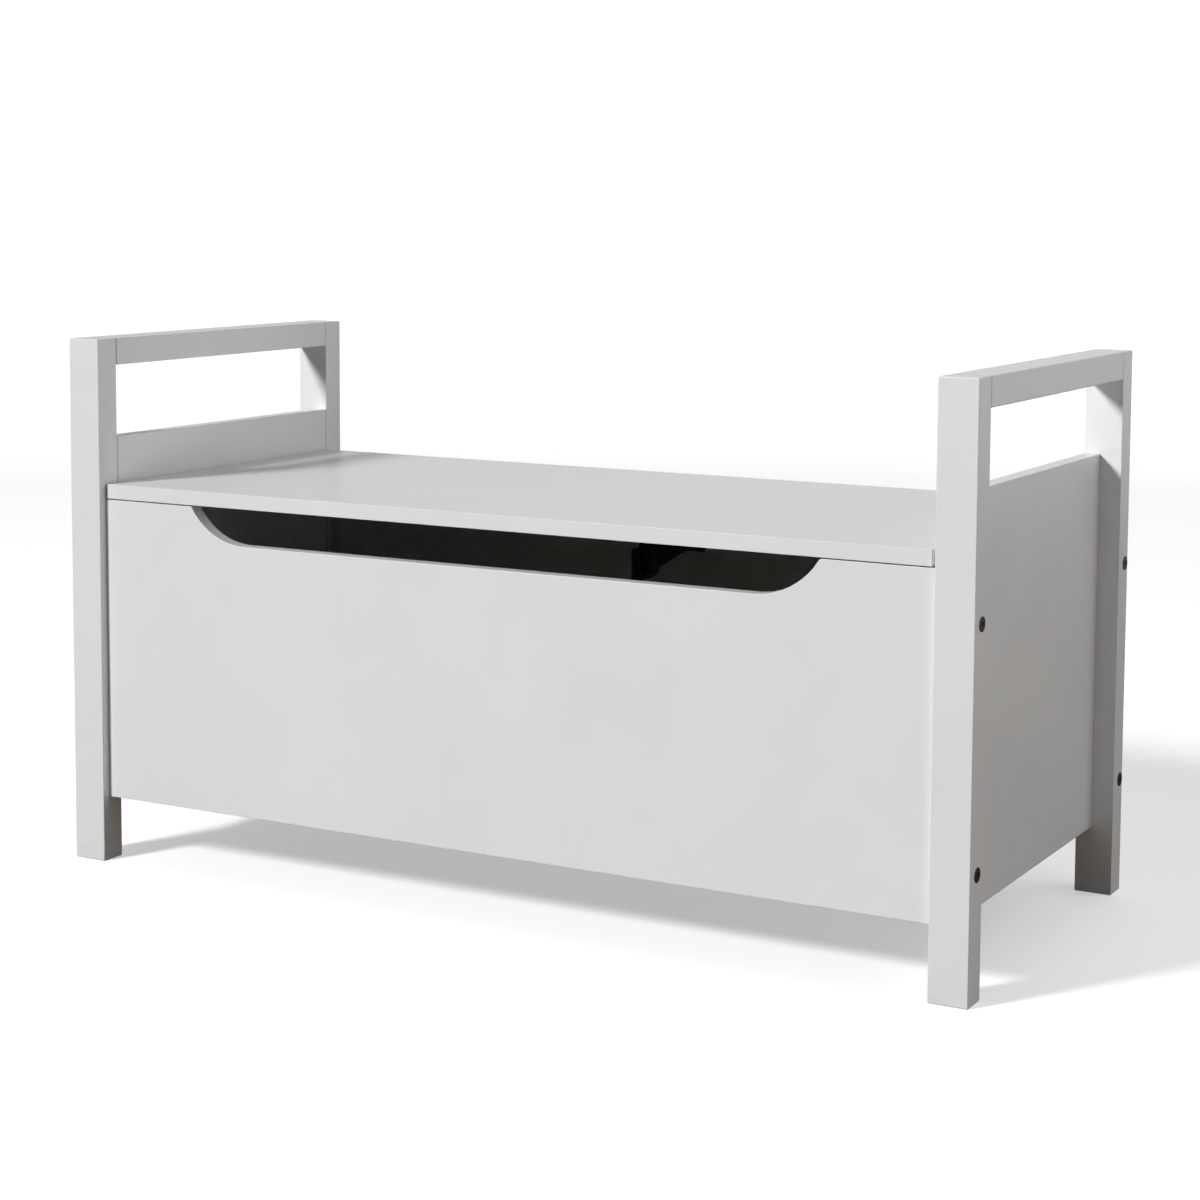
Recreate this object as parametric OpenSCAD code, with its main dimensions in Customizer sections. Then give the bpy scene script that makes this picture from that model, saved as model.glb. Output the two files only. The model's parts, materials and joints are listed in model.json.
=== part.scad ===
// Toy box bench: two armrest frames carry a front and a back panel, a loose
// bottom board and a hinged lid that is also the seat. A folding damper stay
// in the middle of the back panel holds the lid.
// Millimetres. X runs along the length, -Y is the front, +Z is up. The origin
// is on the floor, under the middle of the box.

/* [Overall] */
// Length over the outer faces of the posts
box_w = 1000; // [950:10:1200]
// Depth over the front and rear faces of the posts
box_d = 436; // [380:2:520]
// Height from the floor to the top of the armrests
box_h = 551; // [520:1:620]

/* [Posts and armrests] */
// Width of a post and of the armrest rail, along X
post_w = 38; // [34:1:50]
// Depth of a post, along Y
post_d = 29; // [26:1:40]
// Height of the armrest rail
rail_h = 28; // [24:1:40]

/* [Boards] */
// Thickness of the front and back panels
panel_t = 15; // [15:1:18]
// Thickness of the side panels
side_t = 16; // [15:1:20]
// Thickness of the lid
lid_t = 15; // [15:1:18]
// Thickness of the bottom board
bottom_t = 10; // [6:1:15]
// Width and height of the battens under the bottom board
batten_t = 15; // [12:1:20]
// Height of the lower edge of all four panels
panel_z = 68; // [50:1:90]
// Height of the top edge of the side panels
side_top_z = 448; // [430:1:460]
// Height of the seat, the upper face of the lid
seat_z = 399.5; // [390:0.5:410]
// Set-back of the front panel and the lid behind the faces of the posts
front_recess = 9; // [6:1:12]
// Set-back of the back panel inside the rear faces of the posts
back_recess = 2; // [0:1:6]

/* [Lid fit] */
// Gap between the panels' top edges and the underside of the lid
lid_rest_gap = 1.2; // [1.2:0.1:2.5]
// Total play of the lid between the two side frames
lid_play = 8; // [6:1:12]
// Sideways offset of the lid from the middle
lid_shift = -2; // [-2:0.5:2]

/* [Hand cut-out] */
// Width of the cut-out along the top edge of the front panel
cut_w = 700; // [400:10:720]
// Depth of the cut-out below the top edge
cut_depth = 36.7; // [25:0.1:60]
// Radius of the two concave ends
cut_r = 76; // [65:1:90]
// Small convex radius where the ends meet the top edge
cut_lip_r = 4; // [2:1:6]

/* [Hinges] */
// Distance of each hinge from the middle of the box
hinge_x = 320; // [200:5:340]
// Length of a hinge along its pin
hinge_len = 60; // [52:1:80]
// Width of a leaf from the pin axis to its free edge
leaf_w = 25; // [22:1:30]
// Thickness of a leaf
leaf_t = 1.2; // [1:0.1:1.5]
// Outer radius of the barrel
barrel_r = 2.75; // [2.6:0.05:3]
// Radius of the hinge pin
pin_r = 1.5; // [1.2:0.1:1.6]

/* [Lid stay] */
// Near face of the lower arm, along X
stay_x = 11; // [-40:1:40]
// Length of the lower arm from pivot to pivot, along the lid
stay_reach = 101; // [90:1:120]
// Height of the upper arm from pivot to pivot
stay_drop = 58; // [50:1:70]
// Thickness of both arms
arm_t = 5; // [3:1:6]
// Half the width of both arms at the elbow
elbow_r = 17; // [15:1:18]
// Radius of the damper housing
damper_r = 13; // [11:0.5:14]
// Thickness of the damper housing
damper_t = 8.5; // [7:0.5:12]

/* [Fasteners] */
// Height of the lower connector bolts
bolt_low_z = 116; // [105:1:130]
// Height of the upper connector bolts
bolt_high_z = 337; // [320:1:340]
// Radius of a connector bolt's shank
bolt_r = 3; // [2.5:0.5:4]
// Length of a connector bolt under its head
bolt_len = 70; // [70:1:80]
// Radius of a connector bolt's head
bolt_head_r = 7; // [6:0.5:8]
// Thickness of a connector bolt's head
bolt_head_t = 0.8; // [0.8:0.2:3]
// Radius of a dowel
dowel_r = 4; // [3:0.5:4]
// Length of a dowel
dowel_len = 30; // [24:2:36]
// Radius of a wood screw's shank
screw_r = 1.75; // [1.5:0.25:2]

/* [Hidden] */
$fn = 48;
// Overshoot of a cutting body past the face it opens
eps = 1;

// Planes of the carcase
front_y = -box_d / 2;
rear_y = box_d / 2;
inner_x = box_w / 2 - post_w;
post_in_y = box_d / 2 - post_d;
panel_y = front_y + front_recess;
panel_in_y = panel_y + panel_t;
back_y = rear_y - back_recess;
back_in_y = back_y - panel_t;
lid_z = seat_z - lid_t;
panel_top_z = lid_z - lid_rest_gap;
rail_z = box_h - rail_h;
batten_top_z = panel_z + batten_t;
// Fitting gap round the bottom board and at the ends of the short battens
fit_gap = 1;

// Hinge axis: in front of the back panel and under the lid, clear of both
barrel_gap = 0.35;
axis_off = barrel_r + barrel_gap;
hinge_y = back_in_y - axis_off;
hinge_z = lid_z - axis_off;
lid_rear_gap = 1.8;
lid_rear_y = hinge_y - lid_rear_gap;
knuckles = 5;
knuckle_gap = 0.2;
knuckle_relief = 0.3;
knuckle_len = hinge_len / knuckles;
pin_play = 0.05;
leaf_screw_x = 21;
leaf_screw_w = 15;
leaf_corner_r = 3;
// Height of a screw's head above its leaf
leaf_head_proud = 0.3;

// Stay pivots. The hinge axis and the three pivots form a parallelogram, so
// the lower arm stays parallel to the lid and the upper arm to the back panel.
wall_pivot_off = 12;
lid_pivot_off = 11;
wall_pin_y = back_in_y - wall_pivot_off;
wall_pin_z = hinge_z - stay_drop;
lid_pin_y = hinge_y - stay_reach;
lid_pin_z = lid_z - lid_pivot_off;
elbow_y = lid_pin_y + wall_pin_y - hinge_y;
elbow_z = lid_pin_z + wall_pin_z - hinge_z;
arm_gap = 0.4;
upper_x = stay_x + arm_t + arm_gap;
damper_x = upper_x + arm_t;
arm_end_r = 8;
ear_t = 2.6;
bracket_t = 2.5;
bracket_corner_r = 4;
stay_pin_r = 3;
rivet_head_r = 5.5;
rivet_head_t = 1.5;
elbow_play = 0.3;
elbow_corner_r = 4;
damper_skin = 3;
shaft_end_gap = 0.5;
wall_plate_w = 40;
wall_plate_h = 54;
// Height of the wall plate's middle above its pin: the plate's foot is just below the ears
wall_plate_lift = wall_plate_h / 2 - arm_end_r - 1;
wall_screw_x = 13;
wall_screw_z = 20;
lid_plate_w = 44;
lid_plate_d = 40;
lid_screw_x = 16;
lid_screw_y = 13;
wall_plate_x = stay_x + arm_t / 2;
lid_plate_x = upper_x + arm_t / 2;

// Fasteners
bolt_zs = [bolt_low_z, bolt_high_z];
bolt_hole_r = bolt_r + 0.3;
bolt_front_y = panel_y + panel_t / 2;
bolt_rear_y = back_y - panel_t / 2;
nut_r = 5;
nut_from_tip = 4;
nut_x = box_w / 2 - bolt_len + nut_from_tip;
nut_skin = 2;
nut_end_gap = 1;
nut_hole_depth = panel_t - nut_skin;
nut_len = nut_hole_depth - nut_end_gap;
hole_play = 0.1;
dowel_hole_r = dowel_r + 0.05;
dowel_end_gap = 0.5;
rail_dowel_x = 9;
panel_dowel_z = (bolt_low_z + bolt_high_z) / 2;
// Height between a side panel's dowels and the nearest bolt, dowel or edge
dowel_clear = 35;
side_dowel_zs = [bolt_low_z + dowel_clear, panel_dowel_z + dowel_clear, side_top_z - dowel_clear];
screw_head_r = 3.5;
screw_head_t = 2.2;
// Straight land round the head's top
screw_land = 0.4;
screw_tip = 2;
leaf_screw_len = 13;
bracket_screw_len = 14;
batten_screw_bite = 9;
batten_screw_len = batten_t + batten_screw_bite;
batten_screw_inset = 40;
short_screw_pitch = 130;
pad_r = 4;
pad_x = inner_x - 30;

// ---------- helpers ----------

// Solid block between two opposite corners
module block(lo, hi) {
    translate(lo) cube([hi[0] - lo[0], hi[1] - lo[1], hi[2] - lo[2]]);
}

// Round bars that start at p and run along +X or +Y
module bar_x(p, r, len) {
    translate(p) rotate([0, 90, 0]) cylinder(r = r, h = len);
}

module bar_y(p, r, len) {
    translate(p) rotate([-90, 0, 0]) cylinder(r = r, h = len);
}

// Left-hand copy for s = -1, as drawn for s = 1
module on_side(s) {
    if (s < 0) mirror([1, 0, 0]) children();
    else children();
}

// Plate outline with rounded corners, centred
module rounded_rect(w, h, r) {
    square([w - 2 * r, h], center = true);
    square([w, h - 2 * r], center = true);
    for (sx = [-1, 1], sy = [-1, 1])
        translate([sx * (w / 2 - r), sy * (h / 2 - r)]) circle(r = r);
}

// Outline of an arm: two circles joined along their outer tangents
module arm_outline(p, rp, q, rq) {
    len = norm(q - p);
    lean = (rp - rq) / len;
    rise = sqrt(1 - lean * lean);
    inset = 0.02;
    translate(p) rotate([0, 0, atan2(q[1] - p[1], q[0] - p[0])]) {
        circle(r = rp);
        translate([len, 0]) circle(r = rq);
        polygon([
            [(rp - inset) * lean, (rp - inset) * rise],
            [(rp - inset) * lean, (inset - rp) * rise],
            [len + (rq - inset) * lean, (inset - rq) * rise],
            [len + (rq - inset) * lean, (rq - inset) * rise]
        ]);
    }
}

// Turns a flat outline in (Y, Z) into a plate from x to x + t
module plate_yz(x, t) {
    translate([x, 0, 0])
        rotate([90, 0, 90])
            linear_extrude(height = t) children();
}

// Conical part of a wood screw's head, whose top is at the origin
module screw_cone() {
    translate([0, 0, -screw_head_t])
        cylinder(r1 = screw_r, r2 = screw_head_r, h = screw_head_t - screw_land);
}

// Countersunk wood screw along -Z with its head's top at the origin
module wood_screw(len) {
    tip_r = 0.3;
    cross_w = 3.6;
    cross_t = 0.8;
    cross_depth = 1.2;
    difference() {
        union() {
            translate([0, 0, -screw_land]) cylinder(r = screw_head_r, h = screw_land);
            screw_cone();
            translate([0, 0, screw_tip - len]) cylinder(r = screw_r, h = len - screw_tip - screw_head_t);
            translate([0, 0, -len]) cylinder(r1 = tip_r, r2 = screw_r, h = screw_tip);
        }
        for (a = [0, 90])
            rotate([0, 0, a]) translate([-cross_w / 2, -cross_t / 2, -cross_depth])
                cube([cross_w, cross_t, cross_depth + eps]);
    }
}

// Space for a wood screw in the board under its head. The head's cone may
// reach through a thin leaf into the board.
module screw_hole(len) {
    spare = 0.3;
    translate([0, 0, -len - spare]) cylinder(r = screw_r, h = len + spare - screw_head_t + screw_land);
    screw_cone();
}

// Countersunk clearance hole through a metal plate of thickness t, or through
// a batten, with the screw head's top flush at the origin
module screw_seat(t) {
    translate([0, 0, -screw_land]) cylinder(r = screw_head_r, h = screw_land + eps);
    screw_cone();
    translate([0, 0, -t - eps]) cylinder(r = screw_r, h = t + eps);
}

// ---------- placements shared by screws and their holes ----------

// On the back panel's inner face, head towards the front
module at_back_leaf_screws() {
    head_y = back_in_y - leaf_t - leaf_head_proud;
    for (s = [-1, 1], k = [-1, 1])
        translate([s * hinge_x + k * leaf_screw_x, head_y, hinge_z - leaf_screw_w])
            rotate([90, 0, 0]) children();
}

// On the underside of the lid, head down
module at_lid_leaf_screws() {
    head_z = lid_z - leaf_t - leaf_head_proud;
    for (s = [-1, 1], k = [-1, 1])
        translate([s * hinge_x + k * leaf_screw_x, hinge_y - leaf_screw_w, head_z])
            rotate([180, 0, 0]) children();
}

module at_wall_bracket_screws() {
    for (sx = [-1, 1], sz = [-1, 1])
        translate([
            wall_plate_x + sx * wall_screw_x, back_in_y - bracket_t,
            wall_pin_z + wall_plate_lift + sz * wall_screw_z
        ])
            rotate([90, 0, 0]) children();
}

module at_lid_bracket_screws() {
    for (sx = [-1, 1], sy = [-1, 1])
        translate([lid_plate_x + sx * lid_screw_x, lid_pin_y + sy * lid_screw_y, lid_z - bracket_t])
            rotate([180, 0, 0]) children();
}

// Through the battens, level, into the four panels
module at_long_batten_screws(f) {
    face_y = f < 0 ? panel_in_y + batten_t : back_in_y - batten_t;
    for (i = [-2 : 2])
        translate([i * (inner_x - batten_screw_inset) / 2, face_y, panel_z + batten_t / 2])
            rotate([f < 0 ? -90 : 90, 0, 0]) children();
}

module at_short_batten_screws(s) {
    for (i = [-1 : 1])
        translate([s * (inner_x - batten_t), i * short_screw_pitch, panel_z + batten_t / 2])
            rotate([0, -s * 90, 0]) children();
}

// Dowel sockets along Y in both ends of a rail or a side panel, at (x, z)
module end_dowel_sockets(x, z) {
    socket_len = dowel_len / 2 + eps;
    for (y = [-post_in_y - eps, post_in_y + eps - socket_len])
        bar_y([x, y, z], dowel_hole_r, socket_len);
}

// ---------- posts and armrests ----------

// One post: s = -1 left, 1 right; f = -1 front, 1 rear
module post(s, f) {
    bolt_y = f < 0 ? bolt_front_y : bolt_rear_y;
    y0 = f < 0 ? front_y : post_in_y;
    dowel_y = f < 0 ? -post_in_y - dowel_len / 2 : post_in_y - eps;
    on_side(s) difference() {
        block([inner_x, y0, 0], [box_w / 2, y0 + post_d, box_h]);
        for (z = bolt_zs)
            bar_x([inner_x - eps, bolt_y, z], bolt_hole_r, post_w + 2 * eps);
        bar_x([inner_x - eps, bolt_y, panel_dowel_z], dowel_hole_r, dowel_len / 2 + eps);
        for (k = [-1, 1])
            bar_y([inner_x + post_w / 2 + k * rail_dowel_x, dowel_y, rail_z + rail_h / 2],
                dowel_hole_r, dowel_len / 2 + eps);
        for (z = side_dowel_zs)
            bar_y([inner_x + side_t / 2, dowel_y, z], dowel_hole_r, dowel_len / 2 + eps);
    }
}

module post_front_left() { color("white") post(-1, -1); }
module post_front_right() { color("white") post(1, -1); }
module post_rear_left() { color("white") post(-1, 1); }
module post_rear_right() { color("white") post(1, 1); }

module armrest_rail(s) {
    on_side(s) difference() {
        block([inner_x, -post_in_y, rail_z], [box_w / 2, post_in_y, box_h]);
        for (k = [-1, 1])
            end_dowel_sockets(inner_x + post_w / 2 + k * rail_dowel_x, rail_z + rail_h / 2);
    }
}

module armrest_rail_left() { color("white") armrest_rail(-1); }
module armrest_rail_right() { color("white") armrest_rail(1); }

// ---------- panels ----------

module side_panel(s) {
    on_side(s) difference() {
        block([inner_x, -post_in_y, panel_z], [inner_x + side_t, post_in_y, side_top_z]);
        for (z = side_dowel_zs)
            end_dowel_sockets(inner_x + side_t / 2, z);
    }
}

module side_panel_left() {
    color("white") difference() {
        side_panel(-1);
        at_short_batten_screws(-1) screw_hole(batten_screw_len);
    }
}

module side_panel_right() {
    color("white") difference() {
        side_panel(1);
        at_short_batten_screws(1) screw_hole(batten_screw_len);
    }
}

// Holes for the bolts, barrel nuts and dowels in both ends of a long panel.
// inner_face_y is the panel's inner face; dir points from it into the board.
module long_panel_holes(bolt_y, inner_face_y, dir) {
    nut_hole_y = dir < 0 ? inner_face_y - nut_hole_depth : inner_face_y - eps;
    for (s = [-1, 1]) on_side(s) {
        for (z = bolt_zs) {
            bar_x([box_w / 2 - bolt_len - eps, bolt_y, z], bolt_hole_r, bolt_len);
            bar_y([nut_x, nut_hole_y, z], nut_r + hole_play, nut_hole_depth + eps);
        }
        bar_x([inner_x - dowel_len / 2, bolt_y, panel_dowel_z], dowel_hole_r, dowel_len / 2 + eps);
    }
}

// Outline of the cut-out in (X, Z), open at the top
module cut_out_outline() {
    floor_z = panel_top_z - cut_depth;
    arc_z = floor_z + cut_r;
    arc_x = cut_w / 2 - sqrt(cut_r * cut_r - (arc_z - panel_top_z) * (arc_z - panel_top_z));
    lip_z = panel_top_z - cut_lip_r;
    reach = cut_r + cut_lip_r;
    lip_x = arc_x + sqrt(reach * reach - (arc_z - lip_z) * (arc_z - lip_z));
    touch_x = arc_x + (lip_x - arc_x) * cut_r / reach;
    touch_z = arc_z + (lip_z - arc_z) * cut_r / reach;
    translate([-arc_x, floor_z]) square([2 * arc_x, cut_depth + eps]);
    for (s = [-1, 1]) mirror([s < 0 ? 1 : 0, 0]) {
        intersection() {
            translate([arc_x, arc_z]) circle(r = cut_r, $fn = 96);
            translate([arc_x - eps, floor_z]) square([cut_r, cut_depth + eps]);
        }
        difference() {
            polygon([
                [touch_x, touch_z], [lip_x, lip_z],
                [lip_x, panel_top_z + eps], [touch_x, panel_top_z + eps]
            ]);
            translate([lip_x, lip_z]) circle(r = cut_lip_r);
        }
    }
}

module front_panel() {
    color("white") difference() {
        block([-inner_x, panel_y, panel_z], [inner_x, panel_in_y, panel_top_z]);
        translate([0, panel_in_y + eps, 0])
            rotate([90, 0, 0])
                linear_extrude(height = panel_t + 2 * eps) cut_out_outline();
        long_panel_holes(bolt_front_y, panel_in_y, -1);
        at_long_batten_screws(-1) screw_hole(batten_screw_len);
    }
}

module back_panel() {
    color("white") difference() {
        block([-inner_x, back_in_y, panel_z], [inner_x, back_y, panel_top_z]);
        long_panel_holes(bolt_rear_y, back_in_y, 1);
        at_long_batten_screws(1) screw_hole(batten_screw_len);
        at_back_leaf_screws() screw_hole(leaf_screw_len);
        at_wall_bracket_screws() screw_hole(bracket_screw_len);
    }
}

module bottom_board() {
    color("tan") block(
        [fit_gap - inner_x, panel_in_y + fit_gap, batten_top_z],
        [inner_x - fit_gap, back_in_y - fit_gap, batten_top_z + bottom_t]);
}

module batten_front() {
    color("burlywood") difference() {
        block([-inner_x, panel_in_y, panel_z], [inner_x, panel_in_y + batten_t, batten_top_z]);
        at_long_batten_screws(-1) screw_seat(batten_t);
    }
}

module batten_back() {
    color("burlywood") difference() {
        block([-inner_x, back_in_y - batten_t, panel_z], [inner_x, back_in_y, batten_top_z]);
        at_long_batten_screws(1) screw_seat(batten_t);
    }
}

module batten_side(s) {
    color("burlywood") difference() {
        on_side(s) block(
            [inner_x - batten_t, panel_in_y + batten_t + fit_gap, panel_z],
            [inner_x, back_in_y - batten_t - fit_gap, batten_top_z]);
        at_short_batten_screws(s) screw_seat(batten_t);
    }
}

module batten_left() { batten_side(-1); }
module batten_right() { batten_side(1); }

// ---------- lid ----------

module lid() {
    half = inner_x - lid_play / 2;
    color("white") difference() {
        block([lid_shift - half, panel_y, lid_z], [lid_shift + half, lid_rear_y, seat_z]);
        at_lid_leaf_screws() screw_hole(leaf_screw_len);
        at_lid_bracket_screws() screw_hole(bracket_screw_len);
    }
}

// Two soft dots on the front panel's top edge, which the lid closes on
module lid_bumper_pads() {
    color("lightgray") for (s = [-1, 1])
        translate([s * pad_x, bolt_front_y, panel_top_z])
            cylinder(r = pad_r, h = lid_rest_gap);
}

// ---------- hinges ----------

// Length of barrel that leaf `part` owns: 0 the back panel's, 1 the lid's
module knuckle_bars(part, r, grow) {
    for (k = [part : 2 : knuckles - 1])
        bar_x([k * knuckle_len - hinge_len / 2 + knuckle_gap / 2 - grow, 0, 0],
            r, knuckle_len - knuckle_gap + 2 * grow);
}

// A leaf lying on the underside of a board at z = axis_off, running to -Y
// from the pin axis
module leaf(part, bore_r) {
    difference() {
        union() {
            difference() {
                translate([0, -leaf_w / 2, axis_off - leaf_t])
                    linear_extrude(height = leaf_t) union() {
                        rounded_rect(hinge_len - knuckle_gap, leaf_w, leaf_corner_r);
                        translate([0, leaf_w / 4])
                            square([hinge_len - knuckle_gap, leaf_w / 2], center = true);
                    }
                knuckle_bars(1 - part, axis_off + knuckle_relief, knuckle_gap);
            }
            knuckle_bars(part, barrel_r, 0);
        }
        bar_x([-hinge_len / 2 - eps, 0, 0], bore_r, hinge_len + 2 * eps);
        for (k = [-1, 1])
            translate([k * leaf_screw_x, -leaf_screw_w, axis_off - leaf_t - leaf_head_proud])
                rotate([180, 0, 0]) screw_seat(leaf_t + leaf_head_proud);
    }
}

module hinge_back_leaf(s) {
    color("silver") translate([s * hinge_x, hinge_y, hinge_z])
        mirror([0, 1, -1]) leaf(0, pin_r);
}

module hinge_lid_leaf(s) {
    color("silver") translate([s * hinge_x, hinge_y, hinge_z]) leaf(1, pin_r + pin_play);
}

module hinge_pin(s) {
    color("gray") bar_x([s * hinge_x - hinge_len / 2, hinge_y, hinge_z], pin_r, hinge_len);
}

module hinge_back_leaf_left() { hinge_back_leaf(-1); }
module hinge_back_leaf_right() { hinge_back_leaf(1); }
module hinge_lid_leaf_left() { hinge_lid_leaf(-1); }
module hinge_lid_leaf_right() { hinge_lid_leaf(1); }
module hinge_pin_left() { hinge_pin(-1); }
module hinge_pin_right() { hinge_pin(1); }

module hinge_screws_back() { color("silver") at_back_leaf_screws() wood_screw(leaf_screw_len); }
module hinge_screws_lid() { color("silver") at_lid_leaf_screws() wood_screw(leaf_screw_len); }

// ---------- lid stay ----------

// Clevis bracket: a base plate in the plane z = 0 with two ears that carry a
// pin at height h, the ears' inner faces at x = a and x = b, and the plate's
// middle at y = lift from the pin
module clevis(plate_w, plate_d, a, b, h, screw_dx, screw_dy, lift = 0) {
    difference() {
        union() {
            translate([(a + b) / 2, lift, 0])
                linear_extrude(height = bracket_t) rounded_rect(plate_w, plate_d, bracket_corner_r);
            for (x = [a - ear_t, b])
                plate_yz(x, ear_t) {
                    translate([0, h]) circle(r = arm_end_r);
                    translate([-arm_end_r, 0]) square([2 * arm_end_r, h]);
                }
        }
        bar_x([a - ear_t - eps, 0, h], stay_pin_r, b - a + 2 * ear_t + 2 * eps);
        for (sx = [-1, 1], sy = [-1, 1])
            translate([(a + b) / 2 + sx * screw_dx, lift + sy * screw_dy, bracket_t])
                screw_seat(bracket_t);
    }
}

// Rivet along +X from x = 0 with a head at each end
module rivet(len) {
    bar_x([0, 0, 0], stay_pin_r, len);
    for (x = [-rivet_head_t, len])
        bar_x([x, 0, 0], rivet_head_r, rivet_head_t);
}

module stay_wall_bracket() {
    color("black") translate([0, back_in_y, wall_pin_z])
        rotate([90, 0, 0])
            clevis(wall_plate_w, wall_plate_h, stay_x - arm_gap, stay_x + arm_t + arm_gap,
                wall_pivot_off, wall_screw_x, wall_screw_z, wall_plate_lift);
}

module stay_lid_bracket() {
    color("black") translate([0, lid_pin_y, lid_z])
        rotate([180, 0, 0])
            clevis(lid_plate_w, lid_plate_d, upper_x - arm_gap, upper_x + arm_t + arm_gap,
                lid_pivot_off, lid_screw_x, lid_screw_y);
}

module stay_wall_pin() {
    color("dimgray") translate([stay_x - arm_gap - ear_t, wall_pin_y, wall_pin_z])
        rivet(arm_t + 2 * arm_gap + 2 * ear_t);
}

module stay_lid_pin() {
    color("dimgray") translate([upper_x - arm_gap - ear_t, lid_pin_y, lid_pin_z])
        rivet(arm_t + 2 * arm_gap + 2 * ear_t);
}

// Outline of an arm: a taper from its pin's round end to a square elbow end
module elbow_arm_outline(pin) {
    taper_inset = 1;
    arm_outline(pin, arm_end_r, [elbow_y, elbow_z], elbow_r - taper_inset);
    translate([elbow_y, elbow_z]) rounded_rect(2 * elbow_r, 2 * elbow_r, elbow_corner_r);
}

module stay_lower_arm() {
    color("black") difference() {
        plate_yz(stay_x, arm_t) elbow_arm_outline([wall_pin_y, wall_pin_z]);
        bar_x([stay_x - eps, wall_pin_y, wall_pin_z], stay_pin_r + pin_play, arm_t + 2 * eps);
        bar_x([stay_x - eps, elbow_y, elbow_z], stay_pin_r, arm_t + 2 * eps);
    }
}

module stay_upper_arm() {
    color("black") difference() {
        plate_yz(upper_x, arm_t) elbow_arm_outline([lid_pin_y, lid_pin_z]);
        bar_x([upper_x - eps, lid_pin_y, lid_pin_z], stay_pin_r + pin_play, arm_t + 2 * eps);
        bar_x([upper_x - eps, elbow_y, elbow_z], stay_pin_r + elbow_play, arm_t + 2 * eps);
    }
}

// Shaft fixed in the lower arm; it turns in the damper housing
module stay_elbow_shaft() {
    color("dimgray") {
        bar_x([stay_x, elbow_y, elbow_z], stay_pin_r, damper_x - stay_x + damper_t - damper_skin);
        bar_x([stay_x - rivet_head_t, elbow_y, elbow_z], rivet_head_r, rivet_head_t);
    }
}

// Round damper housing with a raised rim and a centre boss
module stay_damper() {
    rim = 2.5;
    step = 0.8;
    boss_r = 5;
    color("black") difference() {
        translate([damper_x, elbow_y, elbow_z])
            rotate([0, 90, 0])
                rotate_extrude($fn = 96) polygon([
                    [0, 0], [damper_r, 0], [damper_r, damper_t - step], [damper_r - step, damper_t],
                    [damper_r - rim, damper_t], [damper_r - rim, damper_t - step],
                    [boss_r, damper_t - step], [boss_r, damper_t], [0, damper_t]
                ]);
        bar_x([damper_x - eps, elbow_y, elbow_z],
            stay_pin_r + elbow_play, damper_t - damper_skin + shaft_end_gap + eps);
    }
}

module stay_screws_back() { color("dimgray") at_wall_bracket_screws() wood_screw(bracket_screw_len); }
module stay_screws_lid() { color("dimgray") at_lid_bracket_screws() wood_screw(bracket_screw_len); }

// ---------- fasteners ----------

// Flat-headed connector bolt along -X, head outside at x = 0
module connector_bolt() {
    rim = 0.4;
    socket_r = 0.75 * bolt_r;
    socket_depth = 2;
    difference() {
        rotate([0, 90, 0]) rotate_extrude() polygon([
            [0, -bolt_len], [bolt_r - rim, -bolt_len], [bolt_r, rim - bolt_len], [bolt_r, 0],
            [bolt_head_r, 0], [bolt_head_r, bolt_head_t - rim], [bolt_head_r - rim, bolt_head_t],
            [0, bolt_head_t]
        ]);
        translate([bolt_head_t - socket_depth, 0, 0])
            rotate([0, 90, 0]) cylinder(r = socket_r, h = socket_depth + eps, $fn = 6);
    }
}

module connector_bolts(s) {
    color("dimgray") on_side(s)
        for (y = [bolt_front_y, bolt_rear_y], z = bolt_zs)
            translate([box_w / 2, y, z]) connector_bolt();
}

module connector_bolts_left() { connector_bolts(-1); }
module connector_bolts_right() { connector_bolts(1); }

// Barrel nuts lie flush with the inner faces of the long panels
module barrel_nuts() {
    slot_w = 1.2;
    slot_depth = 1;
    color("gray") for (s = [-1, 1], f = [-1, 1], z = bolt_zs) {
        face_y = f < 0 ? panel_in_y : back_in_y;
        y0 = f < 0 ? face_y - nut_len : face_y;
        bolt_y = f < 0 ? bolt_front_y : bolt_rear_y;
        difference() {
            bar_y([s * nut_x, y0, z], nut_r, nut_len);
            bar_x([s * nut_x - nut_r - eps, bolt_y, z], bolt_r, 2 * nut_r + 2 * eps);
            block([s * nut_x - nut_r, face_y - slot_depth, z - slot_w / 2],
                [s * nut_x + nut_r, face_y + slot_depth, z + slot_w / 2]);
        }
    }
}

module batten_screws() {
    color("silver") {
        for (f = [-1, 1]) at_long_batten_screws(f) wood_screw(batten_screw_len);
        for (s = [-1, 1]) at_short_batten_screws(s) wood_screw(batten_screw_len);
    }
}

// Two dowels along Y, across the joints at the front and the rear post
module end_dowels(x, z) {
    len = dowel_len - 2 * dowel_end_gap;
    for (f = [-1, 1])
        bar_y([x, f * post_in_y - len / 2, z], dowel_r, len);
}

module rail_dowels() {
    color("burlywood") for (s = [-1, 1], k = [-1, 1])
        end_dowels(s * (inner_x + post_w / 2 + k * rail_dowel_x), rail_z + rail_h / 2);
}

module side_panel_dowels() {
    color("burlywood") for (s = [-1, 1], z = side_dowel_zs)
        end_dowels(s * (inner_x + side_t / 2), z);
}

module long_panel_dowels(y) {
    len = dowel_len - 2 * dowel_end_gap;
    color("burlywood") for (s = [-1, 1])
        bar_x([s * inner_x - len / 2, y, panel_dowel_z], dowel_r, len);
}

module front_panel_dowels() { long_panel_dowels(bolt_front_y); }
module back_panel_dowels() { long_panel_dowels(bolt_rear_y); }

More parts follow.
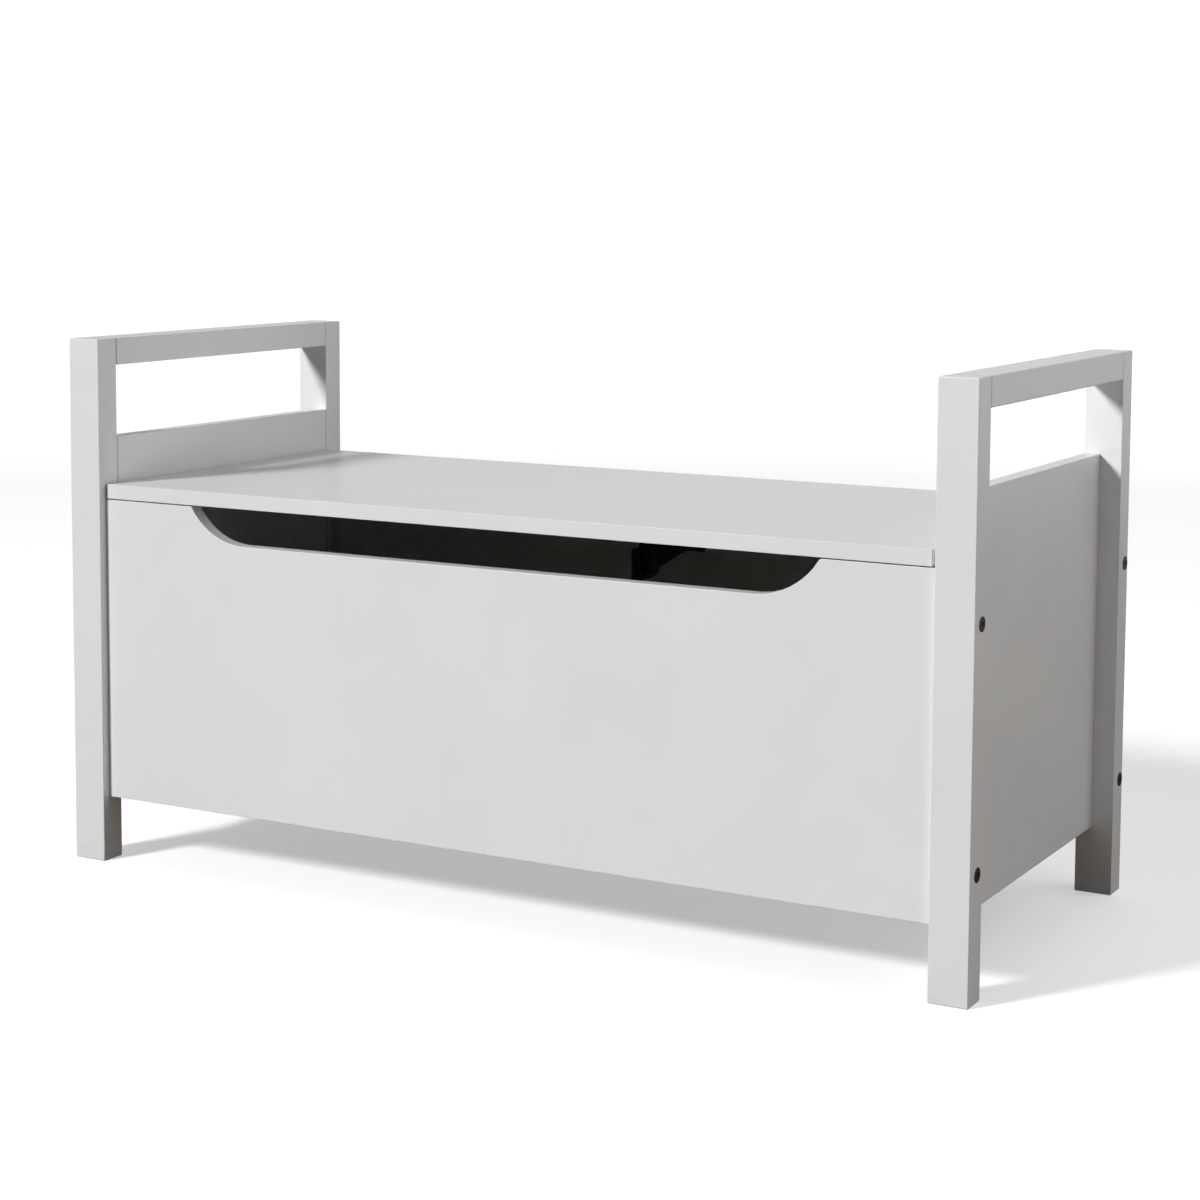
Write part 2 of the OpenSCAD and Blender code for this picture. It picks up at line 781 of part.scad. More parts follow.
post_front_left();
post_front_right();
post_rear_left();
post_rear_right();
armrest_rail_left();
armrest_rail_right();
side_panel_left();
side_panel_right();
front_panel();
back_panel();
bottom_board();
batten_front();
batten_back();
batten_left();
batten_right();
lid();
lid_bumper_pads();
hinge_back_leaf_left();
hinge_back_leaf_right();
hinge_lid_leaf_left();
hinge_lid_leaf_right();
hinge_pin_left();
hinge_pin_right();
hinge_screws_back();
hinge_screws_lid();
stay_wall_bracket();
stay_wall_pin();
stay_lower_arm();
stay_elbow_shaft();
stay_upper_arm();
stay_damper();
stay_lid_bracket();
stay_lid_pin();
stay_screws_back();
stay_screws_lid();
connector_bolts_left();
connector_bolts_right();
barrel_nuts();
batten_screws();
rail_dowels();
side_panel_dowels();
front_panel_dowels();
back_panel_dowels();
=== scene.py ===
"""Looks of the toy box bench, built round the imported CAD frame. Metres, +Z up, -Y is the front."""

import json
import math

import bmesh
import bpy
from mathutils import Matrix, Vector


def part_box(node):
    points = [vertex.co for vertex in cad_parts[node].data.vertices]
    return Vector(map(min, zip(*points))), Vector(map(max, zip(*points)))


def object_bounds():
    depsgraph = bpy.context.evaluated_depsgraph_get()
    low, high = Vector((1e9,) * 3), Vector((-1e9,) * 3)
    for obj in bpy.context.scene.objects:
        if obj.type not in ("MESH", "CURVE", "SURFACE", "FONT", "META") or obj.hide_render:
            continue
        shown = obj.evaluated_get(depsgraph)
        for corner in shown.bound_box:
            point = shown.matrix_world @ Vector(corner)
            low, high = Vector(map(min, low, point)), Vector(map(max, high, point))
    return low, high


# Edge rounding of each finish, and how many segments the rounding has
ROUNDING = {
    "white_lacquer": (0.00045, 3),
    "raw_wood": (0.0006, 2),
    "bottom_board": (0.0004, 2),
    "clear_pad": (0.0005, 3),
    "zinc_steel": (0.00012, 2),
    "black_steel": (0.0003, 2),
    "black_plastic": (0.0002, 2),
    "dark_bolt": (0.00015, 2),
}
# Posts and rails are solid wood, thicker than any panel, and are rounded more than the panels
SOLID_ROUNDING = 0.0011
SOLID_ABOVE = 0.02
# Small parts are rounded where their faces turn by more than the first angle. Faces that turn by
# less than the second are merged into one flat face, after vertices this near have been welded.
ROUNDED_ABOVE = math.radians(40)
FLAT_BELOW = math.radians(0.5)
WELD_DISTANCE = 0.00001
# Large faces lead fully in the shading of the rounded edges beside them
NORMAL_WEIGHT = 100
# How near to a board's face or edge still counts as on it
ON_FACE = 0.0001
# Slots whose boards are rounded only along their own edges and round the hand cut-out
BOARD_SLOTS = ("white_lacquer", "raw_wood", "bottom_board")
# Anything thinner, such as a dowel, is not a board
THINNEST_BOARD = 0.009
# How far below the stated opening the marked rim of the cut-out begins
CUT_OUT_MARGIN = 0.002
# Higher than any piece, for boards without a cut-out
NO_RIM = 10.0

# Pieces that stand between two posts with flush faces
BUTT_JOINTED = (
    "armrest_rail_left",
    "armrest_rail_right",
    "side_panel_left",
    "side_panel_right",
)

# White lacquer: the range of its white, and what shows or lies on it
LACQUER_LOW = (0.835, 0.838, 0.845)
LACQUER_HIGH = (0.862, 0.864, 0.866)
THIN_COAT = (0.70, 0.66, 0.60)
THIN_COAT_SHARE = 0.35
# Painted shade of the gap in a butt joint with a post, with a little dust in it
JOINT_SHADE_AND_DUST = (0.30, 0.29, 0.275)
DUST = (0.66, 0.63, 0.58)
DUST_SHARE = 0.25
DUST_HEIGHT = 0.05
# Distances from an edge and from a joint at which the wear and the painted joint shade begin to fade
# and end
THIN_COAT_REACH = (0.0002, 0.0016)
JOINT_SHADE_REACH = (0.0005, 0.0016)

# Colours of the other finishes
WOOD_RING = (0.62, 0.43, 0.25)
WOOD_PALE = (0.75, 0.58, 0.39)
WOOD_STREAK = (0.55, 0.37, 0.21)
WOOD_PORE = (0.36, 0.23, 0.13)
FIBRE_DARK = (0.21, 0.135, 0.075)
FIBRE_PALE = (0.36, 0.25, 0.15)
FIBRE_CLOUD = (0.17, 0.11, 0.065)
PAD_CLOUDY = (0.74, 0.76, 0.75)
PAD_CLEAR = (0.88, 0.89, 0.88)
ZINC_LOW = (0.56, 0.57, 0.59)
ZINC_HIGH = (0.70, 0.71, 0.72)
ZINC_DULL = (0.45, 0.45, 0.46)
POWDER_COAT = (0.026, 0.026, 0.025)
POWDER_RUBBED = (0.046, 0.045, 0.043)
PLASTIC_LOW = (0.030, 0.030, 0.029)
PLASTIC_HIGH = (0.044, 0.044, 0.042)
BLACKING = (0.085, 0.084, 0.082)
WORN_STEEL = (0.24, 0.23, 0.22)

# Camera: a long lens, turned to the left and tipped a little down, with the frame shifted down
LENS = 74.78
SENSOR = 36.0
CAMERA_AT = (1.2372, -2.2203, 0.7094)
CAMERA_YAW = math.radians(28.9)
CAMERA_PITCH = math.radians(-5.31)
CAMERA_ROLL = math.radians(0.31)
CAMERA_SHIFT_Y = -0.15

# Studio: an even key at the front left, a weak light behind and a low fill on the right, and a sky
KEY_AT = (-1.92, -3.8, 2.7)
KEY_SIZE = 0.9
KEY_POWER = 9.7
KEY_COLOR = (0.965, 0.985, 1.0)
SIDE_AT = (1.40, 0.60, 1.32)
SIDE_SIZE = 0.8
SIDE_POWER = 1.9
FILL_AT = (2.2, -0.9, 0.25)
FILL_SIZE = 0.8
FILL_POWER = 4.2
RIGHT_COLOR = (1.0, 0.995, 0.985)
SKY_BRIGHT_TOWARDS = (0.45, 0.89, 0.0)
SKY_BRIGHT = (0.75, 0.75, 0.75)
SKY_DIM = (0.055, 0.055, 0.055)
SKY_ZENITH = (0.13, 0.13, 0.135)
# Cosines between which the sky goes from dim to bright, and from its walls to its zenith
WALL_BLEND = (-0.2, 0.7)
ZENITH_BLEND = (0.45, 1.0)

# The visible floor, a flat disc that curves up into a wall, and the darker one that lights the box
FLOOR_COLOR = (0.86, 0.86, 0.855)
FLOOR_GLOW = 0.45
FLOOR_RADIUS = 3.6
FLOOR_RISE = 1.6
FLOOR_BENDS = 16
FLOOR_STEPS = 96
WALL_TOP = 9.0
BOUNCE_COLOR = (0.125, 0.088, 0.055)
BOUNCE_DROP = 0.0005
BOUNCE_STEPS = 48


# ---------- shader graph helpers ----------


class Graph:
    """Adds nodes to one node tree and links them.

    An input is a number, a vector, a colour or another node's output.
    """

    def __init__(self, tree):
        self.tree = tree
        self.shader = tree.nodes.get("Principled BSDF")

    def add(self, kind, inputs=None, family="ShaderNode", **settings):
        """Makes a node, sets its properties, and fills its inputs by name or by number."""
        made = self.tree.nodes.new(family + kind)
        for name, value in settings.items():
            setattr(made, name, value)
        for key, value in (inputs or {}).items():
            self.fill(made.inputs[key], value)
        return made

    def fill(self, socket, value):
        """Links an output to the socket, or sets the socket's own value."""
        if isinstance(value, bpy.types.NodeSocket):
            self.tree.links.new(value, socket)
        elif isinstance(value, tuple) and len(value) == 3 and socket.type == "RGBA":
            socket.default_value = (*value, 1)
        else:
            socket.default_value = value

    def math(self, operation, *values):
        made = self.add("Math", dict(enumerate(values)), operation=operation)
        return made.outputs[0]

    def axes(self, vector):
        """The X, Y and Z outputs of a vector."""
        return self.add("SeparateXYZ", {"Vector": vector}).outputs

    def place(self):
        """Position on the piece, in metres, that moves with the piece."""
        return self.add("TexCoord").outputs["Object"]

    def scaled(self, vector, factors):
        return self.add("VectorMath", {0: vector, 1: factors}, operation="MULTIPLY").outputs[0]

    def noise(self, vector, scale, detail=2.0, roughness=0.5, distortion=0.0):
        inputs = {"Vector": vector, "Scale": scale, "Detail": detail}
        inputs.update({"Roughness": roughness, "Distortion": distortion})
        return self.add("TexNoise", inputs).outputs["Fac"]

    def ramp(self, value, low, high, to_low=0.0, to_high=1.0):
        """Maps value from low..high to to_low..to_high, smoothly, and clamps it."""
        inputs = {"Value": value, "From Min": low, "From Max": high}
        inputs.update({"To Min": to_low, "To Max": to_high})
        made = self.add("MapRange", inputs, interpolation_type="SMOOTHSTEP")
        return made.outputs["Result"]

    def mix(self, share, low, high):
        """Colour between low and high."""
        made = self.add("Mix", {"Factor": share}, data_type="RGBA")
        self.fill(made.inputs[6], low)
        self.fill(made.inputs[7], high)
        return made.outputs[2]

    def bump(self, height, distance, strength=1.0, over=None):
        """A bumped normal, laid over another one if given."""
        inputs = {"Height": height, "Distance": distance, "Strength": strength}
        if over is not None:
            inputs["Normal"] = over
        return self.add("Bump", inputs).outputs["Normal"]

    def set(self, **sockets):
        """Fills the shader's sockets; an underscore stands for a space."""
        for name, value in sockets.items():
            self.fill(self.shader.inputs[name.replace("_", " ")], value)


def new_graph(name):
    material = bpy.data.materials.new(name)
    material.use_nodes = True
    return material, Graph(material.node_tree)


def spans(node):
    """Lowest corner, highest corner and size of a CAD node."""
    low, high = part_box(node)
    return low, high, Vector(high) - Vector(low)


def long_axis(node):
    size = spans(node)[2]
    return max(range(3), key=lambda axis: size[axis])


def thin_axis(node):
    size = spans(node)[2]
    return min(range(3), key=lambda axis: size[axis])


def is_solid(node):
    """True for posts and rails, which are thicker than any panel."""
    return min(spans(node)[2]) > SOLID_ABOVE


def along_grain(graph, node, stretch):
    """Position squeezed along the node's long axis, so that noise runs in long streaks."""
    factors = [1.0, 1.0, 1.0]
    factors[long_axis(node)] = stretch
    return graph.scaled(graph.place(), tuple(factors))


def arris_distance(graph, node, place):
    """Distance of a place from a board's nearest edge.

    It is the middle one of its distances to the three pairs of faces.
    """
    low, high, _ = spans(node)
    gaps = []
    for axis in range(3):
        above = graph.math("SUBTRACT", place[axis], low[axis])
        below = graph.math("SUBTRACT", high[axis], place[axis])
        gaps.append(graph.math("MINIMUM", above, below))
    least = graph.math("MINIMUM", gaps[0], gaps[1])
    most = graph.math("MAXIMUM", gaps[0], gaps[1])
    return graph.math("MAXIMUM", least, graph.math("MINIMUM", most, gaps[2]))


# ---------- finishes ----------


def joint_shade_and_dust_share(g, node, mottle):
    """How much painted shade of the joint gap, with a little dust, darkens the place where a rail or
    side panel butts flush against the posts.
    """
    low, high, _ = spans(node)
    sideways, depth, _ = g.axes(g.place())
    to_front = g.math("SUBTRACT", depth, low[1])
    to_back = g.math("SUBTRACT", high[1], depth)
    from_post = g.math("MINIMUM", to_front, to_back)
    # A rail is flush with the posts on both sides, a side panel only on the inside
    faces = (abs(low[0]), abs(high[0]))
    flush_below = max(faces) if is_solid(node) else min(faces)
    flush = g.math("LESS_THAN", g.math("ABSOLUTE", sideways), flush_below + ON_FACE)
    near = g.ramp(from_post, *JOINT_SHADE_REACH, 1.0, 0.0)
    joint_shade_line = g.math("MULTIPLY", near, g.ramp(mottle, 0.2, 0.8, 0.6, 0.8))
    return g.math("MULTIPLY", joint_shade_line, flush)


def white_lacquer(node):
    """Satin white lacquer, sprayed on fibreboard panels and on solid posts and rails."""
    material, g = new_graph("white_lacquer_" + node)
    place = g.place()
    # Spray mottle: very slow changes of tone and sheen
    mottle = g.noise(place, 7.0, detail=3.0, roughness=0.6)
    white = g.mix(g.ramp(mottle, 0.3, 0.7), LACQUER_LOW, LACQUER_HIGH)
    # The lacquer is thinner on the arrises and lets a little of the warm board through
    edge = arris_distance(g, node, g.axes(place))
    thin = g.ramp(edge, *THIN_COAT_REACH, 1.0, 0.0)
    patchy = g.ramp(g.noise(place, 60.0, detail=3.0, roughness=0.65), 0.42, 0.68)
    thin_share = g.math("MULTIPLY", g.math("MULTIPLY", thin, patchy), THIN_COAT_SHARE)
    white = g.mix(thin_share, white, THIN_COAT)
    # Painted shade of the joint gap, with a little dust, where the piece butts flush against the
    # posts
    if node in BUTT_JOINTED:
        white = g.mix(joint_shade_and_dust_share(g, node, mottle), white, JOINT_SHADE_AND_DUST)
    # Dust settles near the floor
    low_part = g.ramp(g.axes(place)[2], 0.0, DUST_HEIGHT, 1.0, 0.0)
    specks = g.ramp(g.noise(place, 90.0, detail=4.0, roughness=0.7), 0.35, 0.75)
    dust = g.math("MULTIPLY", low_part, specks)
    white = g.mix(g.math("MULTIPLY", dust, DUST_SHARE), white, DUST)
    sheen = g.ramp(mottle, 0.25, 0.75, 0.29, 0.36)
    fine = g.ramp(g.noise(place, 900.0, detail=2.0), 0.3, 0.7, -0.02, 0.02)
    sheen = g.math("ADD", sheen, fine)
    sheen = g.math("ADD", sheen, g.math("MULTIPLY", dust, 0.2))
    # Orange peel, and the grain or the fibres under the coat
    peel = g.bump(g.noise(place, 260.0, detail=2.0, roughness=0.45), 0.00006)
    if is_solid(node):
        grain = g.noise(along_grain(g, node, 0.035), 420.0, detail=4.0, roughness=0.6)
        surface = g.bump(grain, 0.00008, 0.8, over=peel)
    else:
        normal = g.axes(g.add("TexCoord").outputs["Normal"])
        on_face = g.math("ABSOLUTE", normal[thin_axis(node)])
        sawn = g.ramp(on_face, 0.3, 0.9, 1.0, 0.15)
        fibres = g.noise(place, 1100.0, detail=3.0, roughness=0.6)
        surface = g.bump(g.math("MULTIPLY", fibres, sawn), 0.00006, 0.8, over=peel)
    g.set(Base_Color=white, Roughness=sheen, Normal=surface)
    g.set(IOR=1.49)
    return material


def raw_wood(node):
    """Planed light wood with growth rings that follow the piece's length."""
    material, g = new_graph("raw_wood_" + node)
    streaks = along_grain(g, node, 0.04)
    wander = g.noise(streaks, 55.0, detail=3.0, roughness=0.6, distortion=0.4)
    rings = g.add(
        "TexWave",
        {"Vector": streaks, "Scale": 42.0, "Distortion": 5.0, "Detail": 3.0, "Detail Scale": 1.6},
        wave_type="RINGS",
        wave_profile="SIN",
    ).outputs["Fac"]
    wood = g.mix(rings, WOOD_RING, WOOD_PALE)
    wood = g.mix(g.ramp(wander, 0.35, 0.75, 0.0, 0.45), wood, WOOD_STREAK)
    pores = g.noise(along_grain(g, node, 0.02), 1500.0, detail=2.0)
    wood = g.mix(g.ramp(pores, 0.62, 0.75, 0.0, 0.35), wood, WOOD_PORE)
    g.set(Base_Color=wood, Roughness=g.ramp(wander, 0.2, 0.8, 0.55, 0.72))
    g.set(Normal=g.bump(pores, 0.00012, 0.6))
    g.set(Specular_IOR_Level=0.35)
    return material


def bottom_board(node):
    """Brown fibreboard: matted fibres in several tones, with a faintly smoothed face."""
    material, g = new_graph("bottom_board_" + node)
    place = g.place()
    fibres = g.noise(place, 750.0, detail=5.0, roughness=0.75, distortion=0.8)
    clouds = g.noise(place, 18.0, detail=4.0, roughness=0.65)
    board = g.mix(g.ramp(fibres, 0.3, 0.7), FIBRE_DARK, FIBRE_PALE)
    board = g.mix(g.ramp(clouds, 0.35, 0.7, 0.0, 0.35), board, FIBRE_CLOUD)
    g.set(Base_Color=board, Roughness=g.ramp(clouds, 0.3, 0.7, 0.5, 0.68))
    g.set(Normal=g.bump(fibres, 0.00008, 0.7))
    g.set(Specular_IOR_Level=0.4)
    return material


def clear_pad(node):
    """Soft clear dot, a little cloudy."""
    material, g = new_graph("clear_pad_" + node)
    cloud = g.noise(g.place(), 600.0, detail=3.0)
    g.set(Base_Color=g.mix(cloud, PAD_CLOUDY, PAD_CLEAR))
    g.set(Roughness=g.ramp(cloud, 0.3, 0.7, 0.2, 0.34))
    g.set(Normal=g.bump(g.noise(g.place(), 1400.0), 0.00003, 0.4))
    g.set(Transmission_Weight=0.45)
    g.set(IOR=1.45)
    return material


def zinc_steel(node):
    """Zinc-plated steel: faint crystal patches and rolling lines."""
    material, g = new_graph("zinc_steel_" + node)
    place = g.place()
    patches = g.add("TexVoronoi", {"Vector": place, "Scale": 420.0}, feature="F1").outputs["Color"]
    tone = g.axes(patches)[0]
    lines = g.noise(along_grain(g, node, 0.03), 1600.0, detail=3.0, roughness=0.7)
    dull = g.noise(place, 120.0, detail=4.0, roughness=0.65)
    metal = g.mix(g.ramp(tone, 0.0, 1.0, 0.0, 0.6), ZINC_LOW, ZINC_HIGH)
    metal = g.mix(g.ramp(dull, 0.5, 0.8, 0.0, 0.4), metal, ZINC_DULL)
    g.set(Base_Color=metal, Roughness=g.ramp(dull, 0.25, 0.75, 0.26, 0.44))
    g.set(Normal=g.bump(lines, 0.00003, 0.5))
    g.set(Metallic=1.0)
    return material


def black_steel(node):
    """Black powder coat: a close pebbled skin, polished a little where it is handled."""
    material, g = new_graph("black_steel_" + node)
    place = g.place()
    pebbles = g.noise(place, 1300.0, detail=2.0, roughness=0.5)
    rubbed = g.noise(place, 70.0, detail=4.0, roughness=0.6)
    coat = g.mix(g.ramp(rubbed, 0.4, 0.75), POWDER_COAT, POWDER_RUBBED)
    g.set(Base_Color=coat, Roughness=g.ramp(rubbed, 0.3, 0.7, 0.34, 0.48))
    g.set(Normal=g.bump(pebbles, 0.00008, 0.6))
    return material


def black_plastic(node):
    """Moulded black plastic with a fine spark-eroded grain."""
    material, g = new_graph("black_plastic_" + node)
    place = g.place()
    grain = g.noise(place, 2600.0, detail=3.0, roughness=0.6)
    flow = g.noise(place, 60.0, detail=3.0)
    g.set(Base_Color=g.mix(flow, PLASTIC_LOW, PLASTIC_HIGH))
    g.set(Roughness=g.ramp(grain, 0.3, 0.7, 0.42, 0.58))
    g.set(Normal=g.bump(grain, 0.00005, 0.7))
    return material


def dark_bolt(node):
    """Blackened steel, with the blacking worn thin in small spots."""
    material, g = new_graph("dark_bolt_" + node)
    place = g.place()
    worn = g.ramp(g.noise(place, 500.0, detail=4.0, roughness=0.7), 0.62, 0.78)
    turned = g.noise(place, 2200.0, detail=2.0)
    worn_share = g.math("MULTIPLY", worn, 0.4)
    g.set(Base_Color=g.mix(worn_share, BLACKING, WORN_STEEL))
    g.set(Roughness=g.ramp(worn, 0.0, 1.0, 0.38, 0.28))
    g.set(Normal=g.bump(turned, 0.00003, 0.5))
    g.set(Metallic=0.85)
    return material


FINISHES = {
    "white_lacquer": white_lacquer,
    "raw_wood": raw_wood,
    "bottom_board": bottom_board,
    "clear_pad": clear_pad,
    "zinc_steel": zinc_steel,
    "black_steel": black_steel,
    "black_plastic": black_plastic,
    "dark_bolt": dark_bolt,
}


def geometry_modifier(piece, name, build):
    """Adds a geometry nodes modifier.

    build gets the graph and the geometry, and returns the new geometry.
    """
    group = bpy.data.node_groups.new(name + "_" + piece.name, "GeometryNodeTree")
    for way in ("INPUT", "OUTPUT"):
        group.interface.new_socket("Geometry", in_out=way, socket_type="NodeSocketGeometry")
    graph = Graph(group)
    before = graph.add("GroupInput", family="Node").outputs[0]
    graph.add("GroupOutput", {0: build(graph, before)}, family="Node")
    piece.modifiers.new(name, "NODES").node_group = group


def mark_arrises(piece, node, rim_above):
    """Marks a board's outer edges for rounding, and its front and back rims above a height.

    Holes stay sharp.
    """
    low, high, _ = spans(node)

    def build(graph, geometry):
        place = graph.axes(graph.add("InputPosition", family="GeometryNode").outputs[0])
        outer = graph.math("LESS_THAN", arris_distance(graph, node, place), ON_FACE)
        from_front = graph.math("SUBTRACT", place[1], low[1])
        from_back = graph.math("SUBTRACT", high[1], place[1])
        nearest = graph.math("MINIMUM", from_front, from_back)
        on_face = graph.math("LESS_THAN", nearest, ON_FACE)
        raised = graph.math("GREATER_THAN", place[2], rim_above)
        rim = graph.math("MULTIPLY", on_face, raised)
        turn = graph.add("InputMeshEdgeAngle", family="GeometryNode").outputs[0]
        sharp = graph.math("GREATER_THAN", turn, ROUNDED_ABOVE)
        weight = graph.math("MULTIPLY", graph.math("MAXIMUM", outer, rim), sharp)
        stored = graph.add(
            "StoreNamedAttribute",
            {"Geometry": geometry, "Name": "bevel_weight_edge", "Value": weight},
            family="GeometryNode",
            data_type="FLOAT",
            domain="EDGE",
        )
        return stored.outputs[0]

    geometry_modifier(piece, "arrises", build)


def keep_in_box(piece, node):
    """Stops the rounding from reaching past the piece's own box."""
    low, high, _ = spans(node)

    def build(graph, geometry):
        place = graph.add("InputPosition", family="GeometryNode").outputs[0]
        above = graph.add("VectorMath", {0: place, 1: tuple(low)}, operation="MAXIMUM")
        inside = graph.add("VectorMath", {0: above.outputs[0], 1: tuple(high)}, operation="MINIMUM")
        inputs = {"Geometry": geometry, "Position": inside.outputs[0]}
        return graph.add("SetPosition", inputs, family="GeometryNode").outputs[0]

    geometry_modifier(piece, "keep_in_box", build)


def round_edges(piece, node, slot, rim_above):
    """Rounds a piece's sharp edges by modifiers, which leaves its mesh as it is."""
    width, segments = ROUNDING[slot]
    if slot == "white_lacquer" and is_solid(node):
        width = SOLID_ROUNDING
    weld = piece.modifiers.new("weld", "WELD")
    weld.merge_threshold = WELD_DISTANCE
    flat = piece.modifiers.new("flat_faces", "DECIMATE")
    flat.decimate_type = "DISSOLVE"
    flat.angle_limit = FLAT_BELOW
    board = slot in BOARD_SLOTS and min(spans(node)[2]) > THINNEST_BOARD
    if board:
        mark_arrises(piece, node, rim_above)
    bevel = piece.modifiers.new("rounding", "BEVEL")
    bevel.width = width
    bevel.segments = segments
    bevel.limit_method = "WEIGHT" if board else "ANGLE"
    bevel.angle_limit = ROUNDED_ABOVE
    bevel.use_clamp_overlap = False
    keep_in_box(piece, node)
    weighted = piece.modifiers.new("normals", "WEIGHTED_NORMAL")
    weighted.weight = NORMAL_WEIGHT
    weighted.keep_sharp = False


def finish_nodes(frame):
    """Gives every CAD node its finish and its rounded edges."""
    record = frame["record"]
    openings = {opening["name"]: opening["box_m"] for opening in record["physics"]["openings"]}
    cut_out_bottom = openings["hand_cut_out"][0][2] - CUT_OUT_MARGIN
    for part in record["subparts"]:
        name, slot = part["node"], part["material_slot"]
        piece = frame["nodes"][name]
        material = FINISHES[slot](name)
        for material_slot in piece.material_slots:
            material_slot.material = material
        rim_above = cut_out_bottom if name == "front_panel" else NO_RIM
        round_edges(piece, name, slot, rim_above)


# ---------- studio ----------


def plain_material(name, color, glow=0.0, roughness=0.9):
    material, g = new_graph(name)
    g.set(Base_Color=color, Roughness=roughness)
    g.set(Specular_IOR_Level=0.2)
    if glow:
        g.set(Emission_Color=(1.0, 1.0, 1.0), Emission_Strength=glow)
    return material


def lathe(name, profile, steps):
    """A surface of revolution round Z from (radius, height) points."""
    mesh = bmesh.new()
    rings = []
    for radius, height in profile:
        if radius == 0:
            rings.append([mesh.verts.new((0, 0, height))])
            continue
        turns = [2 * math.pi * k / steps for k in range(steps)]
        ring = [(radius * math.cos(turn), radius * math.sin(turn), height) for turn in turns]
        rings.append([mesh.verts.new(place) for place in ring])
    for inner, outer in zip(rings, rings[1:]):
        for k in range(steps):
            after = (k + 1) % steps
            if len(inner) == 1:
                mesh.faces.new((inner[0], outer[k], outer[after]))
            else:
                mesh.faces.new((inner[k], outer[k], outer[after], inner[after]))
    data = bpy.data.meshes.new(name)
    mesh.to_mesh(data)
    mesh.free()
    data.polygons.foreach_set("use_smooth", [True] * len(data.polygons))
    piece = bpy.data.objects.new(name, data)
    bpy.context.scene.collection.objects.link(piece)
    return piece


def make_floor():
    """A pale floor that curves up into a pale wall, far from the box on all sides."""
    profile = [(0, 0), (FLOOR_RADIUS / 2, 0), (FLOOR_RADIUS, 0)]
    for k in range(1, FLOOR_BENDS + 1):
        turn = math.pi / 2 * k / FLOOR_BENDS
        out = FLOOR_RADIUS + FLOOR_RISE * math.sin(turn)
        profile.append((out, FLOOR_RISE * (1 - math.cos(turn))))
    profile.append((FLOOR_RADIUS + FLOOR_RISE, WALL_TOP))
    floor = lathe("floor", profile, FLOOR_STEPS)
    floor.data.materials.append(plain_material("pale_floor", FLOOR_COLOR, glow=FLOOR_GLOW))
    floor.visible_diffuse = False
    floor.visible_glossy = False
    floor.visible_shadow = False
    # What the box receives from below is the dimmer, warmer light of a room's floor
    under_profile = [(0, -BOUNCE_DROP), (FLOOR_RADIUS, -BOUNCE_DROP)]
    under = lathe("bounce_floor", under_profile, BOUNCE_STEPS)
    under.data.materials.append(plain_material("bounce", BOUNCE_COLOR))
    under.visible_camera = False


def make_sky():
    """Soft light from a bright wall behind the box, a dim room in front of it and a ceiling."""
    world = bpy.data.worlds.new("studio")
    bpy.context.scene.world = world
    world.use_nodes = True
    g = Graph(world.node_tree)
    direction = g.add("TexCoord").outputs["Generated"]

    def blend(towards, span, low, high):
        """Goes from low to high as the direction turns to face towards."""
        axis = tuple(Vector(towards).normalized())
        facing = g.add("VectorMath", {0: direction, 1: axis}, operation="DOT_PRODUCT")
        return g.mix(g.ramp(facing.outputs["Value"], *span), low, high)

    walls = blend(SKY_BRIGHT_TOWARDS, WALL_BLEND, SKY_DIM, SKY_BRIGHT)
    sky = blend((0, 0, 1), ZENITH_BLEND, walls, SKY_ZENITH)
    g.fill(world.node_tree.nodes["Background"].inputs["Color"], sky)


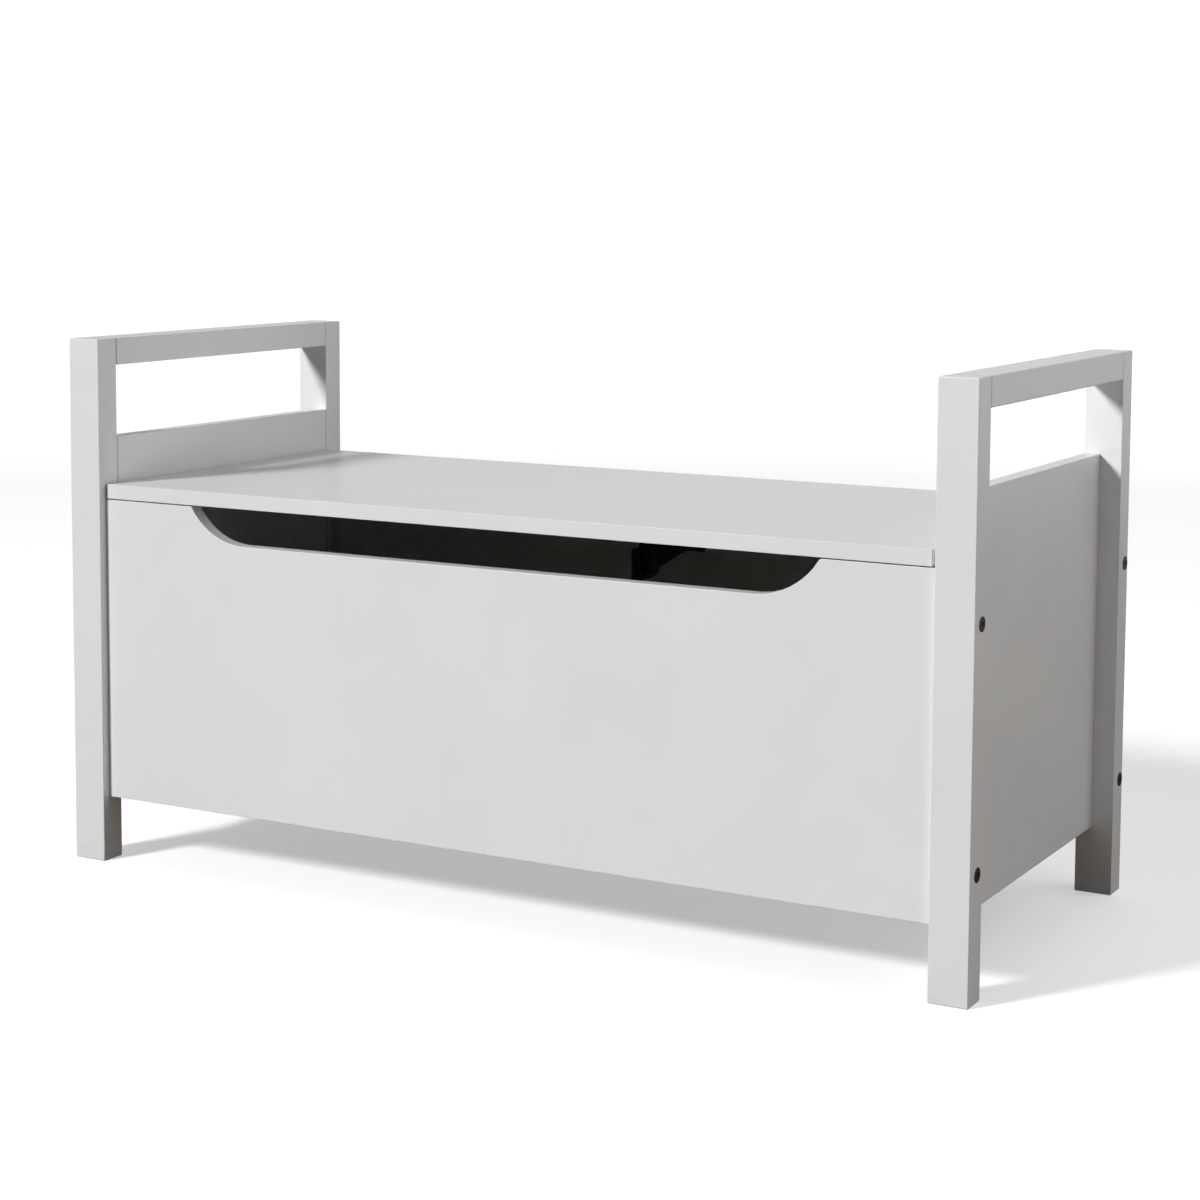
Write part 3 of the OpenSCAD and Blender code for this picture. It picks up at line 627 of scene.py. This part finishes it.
def area_light(name, at, aim, size, power, color, even=False):
    """A round soft light. An even one is as bright at any distance."""
    data = bpy.data.lights.new(name, "AREA")
    data.shape = "DISK"
    data.size = size
    data.energy = power
    data.color = color
    if even:
        data.use_nodes = True
        g = Graph(data.node_tree)
        falloff = g.add("LightFalloff", {"Strength": 1.0})
        strength = data.node_tree.nodes["Emission"].inputs["Strength"]
        g.fill(strength, falloff.outputs["Constant"])
    light = bpy.data.objects.new(name, data)
    light.location = at
    light.visible_camera = False
    light.rotation_mode = "QUATERNION"
    light.rotation_quaternion = (Vector(at) - Vector(aim)).to_track_quat("Z", "Y")
    bpy.context.scene.collection.objects.link(light)


def make_lights(centre):
    area_light("key", KEY_AT, centre, KEY_SIZE, KEY_POWER, KEY_COLOR, even=True)
    area_light("side", SIDE_AT, centre, SIDE_SIZE, SIDE_POWER, RIGHT_COLOR)
    area_light("fill", FILL_AT, centre, FILL_SIZE, FILL_POWER, RIGHT_COLOR)


def make_camera():
    data = bpy.data.cameras.new("camera")
    data.sensor_width = SENSOR
    data.lens = LENS
    data.shift_y = CAMERA_SHIFT_Y
    camera = bpy.data.objects.new("camera", data)
    ahead = Vector((
        -math.sin(CAMERA_YAW) * math.cos(CAMERA_PITCH),
        math.cos(CAMERA_YAW) * math.cos(CAMERA_PITCH),
        math.sin(CAMERA_PITCH),
    ))
    level = Vector((math.cos(CAMERA_YAW), math.sin(CAMERA_YAW), 0))
    upright = level.cross(ahead)
    right = level * math.cos(CAMERA_ROLL) + upright * math.sin(CAMERA_ROLL)
    up = upright * math.cos(CAMERA_ROLL) - level * math.sin(CAMERA_ROLL)
    turn = Matrix((right, up, -ahead)).transposed()
    camera.matrix_world = Matrix.Translation(CAMERA_AT) @ turn.to_4x4()
    bpy.context.scene.collection.objects.link(camera)
    bpy.context.scene.camera = camera


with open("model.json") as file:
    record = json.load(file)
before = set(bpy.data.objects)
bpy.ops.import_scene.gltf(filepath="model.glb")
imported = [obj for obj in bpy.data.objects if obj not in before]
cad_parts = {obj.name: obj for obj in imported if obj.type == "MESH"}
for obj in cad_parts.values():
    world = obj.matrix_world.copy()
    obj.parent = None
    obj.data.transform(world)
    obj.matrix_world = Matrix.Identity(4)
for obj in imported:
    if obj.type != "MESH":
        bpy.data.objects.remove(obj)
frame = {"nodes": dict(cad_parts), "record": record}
cad_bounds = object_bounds()
centre = (cad_bounds[0] + cad_bounds[1]) / 2

make_camera()
finish_nodes(frame)
make_floor()
make_sky()
make_lights(centre)
bpy.context.scene.view_settings.view_transform = "Standard"

bpy.context.view_layer.update()
